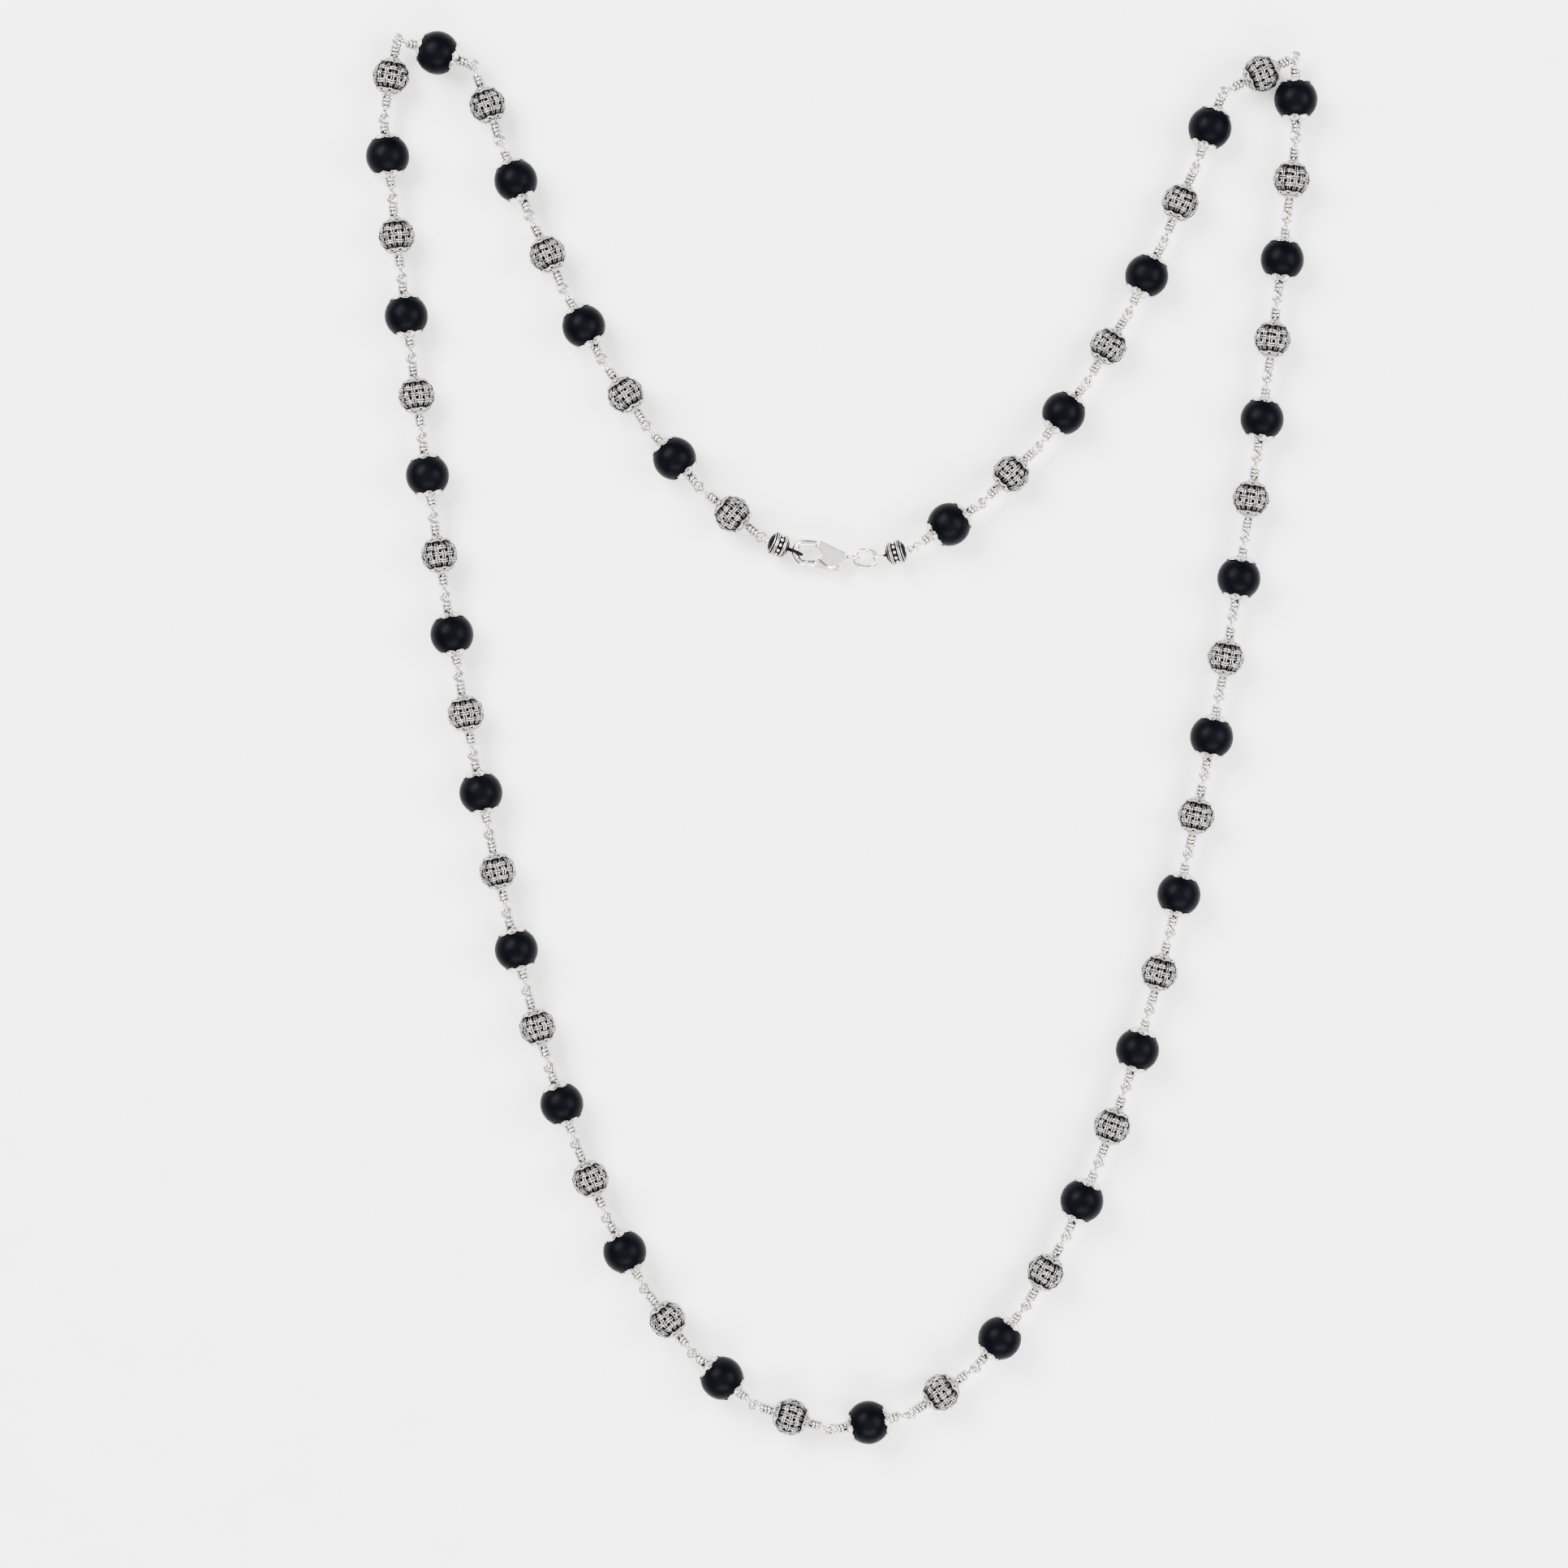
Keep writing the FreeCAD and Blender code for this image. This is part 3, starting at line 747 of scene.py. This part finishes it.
def ring_mesh():
    """The oval jump ring, cut and closed at one side."""
    bm = new_shape()
    half = RING_STRAIGHT / 2
    gap = 0.03 * MM
    right = circle_points(X * half, RING_R, X, Y, 14, -QUARTER, math.pi, ends=True)
    left = circle_points(-X * half, RING_R, X, Y, 14, QUARTER, math.pi, ends=True)
    line = [Y * -RING_R + X * gap, *right, Y * RING_R, *left, Y * -RING_R - X * gap]
    rod(bm, line, RING_WIRE_R, 14)
    return finished_mesh(bm, "jump_ring", ["bright_silver"])


def hull_plate(bm, circles, thick):
    """A flat plate round some circles, each (x, y, radius) in millimetres."""
    points = []
    for x, y, radius in circles:
        ring = circle_points(Vector((x, y, 0)) * MM, radius * MM, X, Y, 28)
        points += [p + Z * z for p in ring for z in (-thick / 2, thick / 2)]
    verts = [bm.verts.new(p) for p in points]
    bmesh.ops.convex_hull(bm, input=verts, use_existing_faces=False)
    loose = [v for v in verts if v.is_valid and not v.link_faces]
    bmesh.ops.delete(bm, geom=loose, context="VERTS")


def as_object(bm, name):
    """A helper object in the scene that holds a bmesh's shape."""
    bmesh.ops.recalc_face_normals(bm, faces=bm.faces)
    mesh = bpy.data.meshes.new(name)
    bm.to_mesh(mesh)
    bm.free()
    holder = bpy.data.objects.new(name, mesh)
    bpy.context.collection.objects.link(holder)
    return holder


def cast(bm, voxel, cuts=()):
    """One closed cast skin over overlapping solids, less the cuts, with its edges worn round."""
    holder = as_object(bm, "rough")
    cutters = [as_object(cut, "cut") for cut in cuts]
    for cutter in cutters:
        cut = holder.modifiers.new("cut", "BOOLEAN")
        cut.object = cutter
        cut.solver = "EXACT"
        cut.use_self = True
    remesh = holder.modifiers.new("skin", "REMESH")
    remesh.mode = "VOXEL"
    remesh.voxel_size = voxel
    relax = holder.modifiers.new("relax", "SMOOTH")
    relax.iterations = 5
    relax.factor = 0.5
    ready = holder.evaluated_get(bpy.context.evaluated_depsgraph_get())
    mesh = bpy.data.meshes.new_from_object(ready)
    for thing in (holder, *cutters):
        bpy.data.objects.remove(thing)
    skin = new_shape()
    skin.from_mesh(mesh)
    bpy.data.meshes.remove(mesh)
    return skin


def clasp_body_mesh():
    """The cast body: a swelling plate with the lever's slot, and a round hook with a blunt nose."""
    bm = new_shape()
    for thick, inset in ((0.6, 0.0), (0.85, 0.25), (1.0, 0.6)):
        circles = [(3.9, -0.05, 1.1), (6.4, 0.9, 2.3), (8.2, -0.35, 2.35), (9.2, -2.3, 0.8)]
        hull_plate(bm, [(x, y, r - inset * r / 3) for x, y, r in circles], CLASP_THICK * thick)
    start = Vector((8.9 * MM, -HOOK_R, 0))
    tip = circle_points(X * HOOK_END_X, HOOK_R, X, Y, 17, -QUARTER, math.pi, ends=True)
    nose = Vector((NOSE_X, HOOK_R, 0))
    rod(bm, [start, start + X * 1.5 * MM, *tip, nose], HOOK_WIRE_R, 18)
    opening = new_shape()
    inner = HOOK_R - HOOK_WIRE_R
    hull_plate(opening, [(10.3, 0, inner / MM), (HOOK_END_X / MM, 0, inner / MM)], 2 * CLASP_THICK)
    gate_room, slot = new_shape(), new_shape()
    box_of(gate_room, (9.9, 0.0, -2.0), (NOSE_X / MM, 5.0, 2.0))
    box_of(slot, (4.3, 0.5, -SLOT_THICK / MM / 2), (10.6, 4.6, SLOT_THICK / MM / 2))
    skin = cast(bm, BODY_VOXEL, (opening, gate_room, slot))
    return finished_mesh(skin, "clasp_body", ["cast_silver"])


def clasp_eye_mesh():
    """The upright eye at the clasp's tail, which hangs on the jump ring."""
    bm = new_shape()
    rod(bm, circle_points(X * CLASP_EYE_R, CLASP_EYE_R, X, Z, 32), CLASP_EYE_WIRE_R, 12, closed=True)
    return finished_mesh(bm, "clasp_eye", ["cast_silver"])


def lever_mesh():
    """The gate, its blade in the slot and the thumb piece that stands out of the body."""
    bm = new_shape()
    boss = (7.2, 2.35, 1.2)
    hull_plate(bm, [boss, (10.0, 2.4, 0.95)], LEVER_THICK)
    hull_plate(bm, [boss, (5.2, 2.75, 1.0)], LEVER_THICK)
    hull_plate(bm, [(4.95, 3.0, 0.75), (6.0, 3.4, 0.4)], THUMB_THICK)
    gate = [Vector((x, 2.3, 0)) * MM for x in (10.1, 10.6, 11.2, 12.0)]
    rod(bm, gate, HOOK_WIRE_R, 18)
    return finished_mesh(cast(bm, LEVER_VOXEL), "clasp_lever", ["cast_silver"])


def rivet_mesh():
    """The lever's pin, flush with both faces, and the leaf spring behind the lever."""
    bm = new_shape()
    at = Matrix.Translation(LEVER_PIVOT)
    length = CLASP_THICK - RIVET_EDGE
    bmesh.ops.create_cone(
        bm, cap_ends=True, segments=24, radius1=RIVET_R, radius2=RIVET_R, depth=length, matrix=at
    )
    rims = [e for e in bm.edges if abs(e.calc_face_angle(0)) > 1]
    bmesh.ops.bevel(
        bm, geom=rims, offset=RIVET_EDGE, affect="EDGES", segments=2, profile=0.5, material=-1
    )
    box_of(bm, (4.6, 0.77, -0.45), (6.6, 0.98, 0.45))
    return finished_mesh(bm, "pin_and_spring", ["cast_silver"])


# ---- places ----


def start_of(n):
    """Where link n turns on the piece before it."""
    if n == 1:
        return JOINTS["turn_left_barrel"]
    if n > max(LINKS):
        return JOINTS["turn_right_barrel"]
    return JOINTS[f"turn_{n - 1:02d}"] if n <= ROOT_LINK else JOINTS[f"turn_{n:02d}"]


def pointing(origin, target, spin=0.0):
    """The place with its X axis from origin towards target, turned about that axis by spin."""
    ahead = target - origin
    heading = math.atan2(ahead.y, ahead.x)
    slope = -math.asin(ahead.z / ahead.length)
    turn = Matrix.Rotation(heading, 4, "Z") @ Matrix.Rotation(slope, 4, "Y")
    return Matrix.Translation(origin) @ turn @ Matrix.Rotation(spin, 4, "X")


def link_place(n, spin=0.0):
    """The place of link n's bead, its middle at the origin and its strand along X."""
    place = pointing(start_of(n), start_of(n + 1))
    return place @ Matrix.Translation(X * EYE_REACH) @ Matrix.Rotation(spin, 4, "X")


def link_body(n):
    """The name of link n's body and node."""
    return f"woven_link_{n:02d}" if n % 2 else f"stone_link_{n:02d}"


def clasp_place():
    """The place of the clasp, its eye's hinge at the origin and its hook along X."""
    eye, pivot = JOINTS["turn_clasp"], JOINTS["open_lever"]
    ahead = pivot - eye
    heading = math.atan2(ahead.y, ahead.x) - math.atan2(LEVER_PIVOT.y, LEVER_PIVOT.x)
    return Matrix.Translation(eye) @ Matrix.Rotation(heading, 4, "Z")


def spin_of(n, step):
    """A different turn about the strand for each link."""
    return n * step % math.tau


# ---- operators ----


class StrandOperator:
    """What the strand's operators share"""

    bl_options = {"REGISTER", "UNDO"}


class STRAND_OT_stone_beads(StrandOperator, bpy.types.Operator):
    """Makes the stone beads"""

    bl_idname = "strand.stone_beads"
    bl_label = "Stone Beads"

    def execute(self, context):
        bead = stone_mesh()
        for n in LINKS[1::2]:
            node = link_body(n)
            set_piece(f"stone_bead_{n:02d}", bead, link_place(n, spin_of(n, 1.7)), node, node)
        return {"FINISHED"}


class STRAND_OT_bead_caps(StrandOperator, bpy.types.Operator):
    """Makes the petalled caps at both ends of each stone bead"""

    bl_idname = "strand.bead_caps"
    bl_label = "Bead Caps"

    def execute(self, context):
        cap = cap_mesh()
        for n in LINKS[1::2]:
            node = link_body(n)
            for end, turn in (("start", math.pi), ("end", 0)):
                place = link_place(n, spin_of(n, 0.9 + turn)) @ Matrix.Rotation(turn, 4, "Z")
                set_piece(f"bead_cap_{n:02d}_{end}", cap, place, node, node)
        return {"FINISHED"}


class STRAND_OT_woven_beads(StrandOperator, bpy.types.Operator):
    """Makes the woven beads and the blackened cores that show through them"""

    bl_idname = "strand.woven_beads"
    bl_label = "Woven Beads"

    def execute(self, context):
        weave, core = woven_silver_mesh(), woven_core_mesh()
        for n in LINKS[::2]:
            node = link_body(n)
            place = link_place(n, spin_of(n, 0.37))
            set_piece(f"woven_bead_{n:02d}", weave, place, node, node)
            set_piece(f"woven_core_{n:02d}", core, place, node, node)
        return {"FINISHED"}


class STRAND_OT_link_wires(StrandOperator, bpy.types.Operator):
    """Makes the wire of each link, with its loops and wraps"""

    bl_idname = "strand.link_wires"
    bl_label = "Link Wires"

    def execute(self, context):
        kinds = [(turns, lean) for turns in (2.2, 2.9) for lean in (-0.05, 0.0, 0.06)]
        wires = {kind: wire_mesh(*kind) for kind in kinds}
        for n in LINKS:
            node = link_body(n)
            kind = kinds[(n % 2) * 3 + (n // 2) % 3]
            set_piece(f"link_wire_{n:02d}", wires[kind], link_place(n), node, node)
        return {"FINISHED"}


class STRAND_OT_barrels(StrandOperator, bpy.types.Operator):
    """Makes the two granulated barrels with their bails"""

    bl_idname = "strand.barrels"
    bl_label = "Barrels"

    def execute(self, context):
        core = barrel_core_mesh()
        hook = clasp_place() @ (X * HOOK_TIP_X)
        sides = (
            ("left_barrel", "turn_left_barrel", hook, 1, "pin"),
            ("right_barrel", "turn_right_barrel", JOINTS["turn_jump_ring"], 0, "eye"),
        )
        for node, joint, target, bail, strand_loop in sides:
            place = pointing(JOINTS[joint], target)
            silver = barrel_mesh(bail, strand_loop)
            set_piece(f"{node}_rims", silver, place, node, node)
            set_piece(f"{node}_core", core, place, node, node)
        return {"FINISHED"}


class STRAND_OT_jump_ring(StrandOperator, bpy.types.Operator):
    """Makes the oval jump ring"""

    bl_idname = "strand.jump_ring"
    bl_label = "Jump Ring"

    def execute(self, context):
        start, end = JOINTS["turn_jump_ring"], JOINTS["turn_clasp"]
        place = pointing(start, end) @ Matrix.Translation(X * (end - start).length / 2)
        set_piece("oval_ring", ring_mesh(), place, "jump_ring", "jump_ring")
        return {"FINISHED"}


class STRAND_OT_clasp(StrandOperator, bpy.types.Operator):
    """Makes the clasp's body, eye, lever, pin and spring"""

    bl_idname = "strand.clasp"
    bl_label = "Clasp"

    def execute(self, context):
        place = clasp_place()
        pieces = (
            ("clasp_cast_body", clasp_body_mesh(), "clasp", "clasp_body"),
            ("clasp_eye", clasp_eye_mesh(), "clasp", "clasp_body"),
            ("clasp_gate_lever", lever_mesh(), "lever", "clasp_lever"),
            ("clasp_rivet_and_leaf", rivet_mesh(), "clasp", "clasp_pin_and_spring"),
        )
        for name, mesh, body, node in pieces:
            set_piece(name, mesh, place, body, node)
        return {"FINISHED"}


class STRAND_OT_stage(StrandOperator, bpy.types.Operator):
    """Sets the pale floor, the soft lights and the camera straight above"""

    bl_idname = "strand.stage"
    bl_label = "Stage"

    def floor(self):
        bm = bmesh.new()
        bmesh.ops.create_grid(bm, x_segments=1, y_segments=1, size=3)
        mesh = bpy.data.meshes.new("floor")
        bm.to_mesh(mesh)
        bm.free()
        paper, tree, shader = new_material("pale_paper", (0.9, 0.9, 0.9), 0, 0.9)
        shades = ramp(tree, noise_at(tree, 60, 4), [(0.3, (0.89, 0.89, 0.89)), (0.7, (0.92, 0.92, 0.92))])
        tree.links.new(shades, shader.inputs["Base Color"])
        mesh.materials.append(paper)
        floor = bpy.data.objects.new("floor", mesh)
        bpy.context.collection.objects.link(floor)

    def light(self, name, at, size, power):
        lamp = bpy.data.lights.new(name, "AREA")
        lamp.shape = "RECTANGLE"
        lamp.size, lamp.size_y = size
        lamp.energy = power
        holder = bpy.data.objects.new(name, lamp)
        bpy.context.collection.objects.link(holder)
        holder.location = at
        holder.rotation_euler = (-Vector(at)).to_track_quat("-Z", "Y").to_euler()

    def sky(self, scene):
        world = bpy.data.worlds.new("studio")
        world.use_nodes = True
        tree = world.node_tree
        place = tree.nodes.new("ShaderNodeTexCoord")
        parts = tree.nodes.new("ShaderNodeSeparateXYZ")
        tree.links.new(place.outputs["Generated"], parts.inputs["Vector"])
        dark, dim, bright = (0.01, 0.01, 0.01), (0.08, 0.08, 0.08), (1, 1, 1)
        tent = ramp(tree, parts.outputs["Z"], [(0.1, dark), (0.78, dim), (0.94, bright)])
        background = tree.nodes["Background"]
        tree.links.new(tent, background.inputs["Color"])
        background.inputs["Strength"].default_value = SKY_STRENGTH
        scene.world = world

    def camera(self, scene):
        lens = bpy.data.cameras.new("camera")
        lens.sensor_width = 36
        lens.lens = lens.sensor_width * CAMERA_HEIGHT / VIEW_WIDTH
        lens.clip_start = 0.01
        holder = bpy.data.objects.new("camera", lens)
        bpy.context.collection.objects.link(holder)
        holder.location = VIEW_AIM + Z * CAMERA_HEIGHT
        scene.camera = holder

    def execute(self, context):
        self.floor()
        for lamp in LAMPS:
            self.light(*lamp)
        self.sky(context.scene)
        self.camera(context.scene)
        return {"FINISHED"}


class STRAND_PT_panel(bpy.types.Panel):
    """Shows the strand's sizes and finish, and the buttons that make its pieces"""

    bl_label = "Bead Strand"
    bl_idname = "STRAND_PT_panel"
    bl_space_type = "VIEW_3D"
    bl_region_type = "UI"
    bl_category = "Strand"

    def draw(self, context):
        layout = self.layout
        for settings, names in (
            (context.scene.strand_sizes, ("stone", "woven", "wire")),
            (context.scene.strand_finish, ("stone", "silver", "oxide_and_shade_colour", "polish")),
        ):
            for name in names:
                layout.prop(settings, name)
        for operator in OPERATORS:
            layout.operator(operator.bl_idname)


OPERATORS = (
    STRAND_OT_stage,
    STRAND_OT_stone_beads,
    STRAND_OT_bead_caps,
    STRAND_OT_woven_beads,
    STRAND_OT_link_wires,
    STRAND_OT_barrels,
    STRAND_OT_jump_ring,
    STRAND_OT_clasp,
)
CLASSES = (StrandSizes, StrandFinish, *OPERATORS, STRAND_PT_panel)


def register():
    for each in CLASSES:
        bpy.utils.register_class(each)
    bpy.types.Scene.strand_sizes = PointerProperty(type=StrandSizes)
    bpy.types.Scene.strand_finish = PointerProperty(type=StrandFinish)


def unregister():
    del bpy.types.Scene.strand_finish
    del bpy.types.Scene.strand_sizes
    for each in reversed(CLASSES):
        bpy.utils.unregister_class(each)


def main():
    register()
    for operator in OPERATORS:
        group, name = operator.bl_idname.split(".")
        getattr(getattr(bpy.ops, group), name)()


if __name__ == "__main__":
    main()
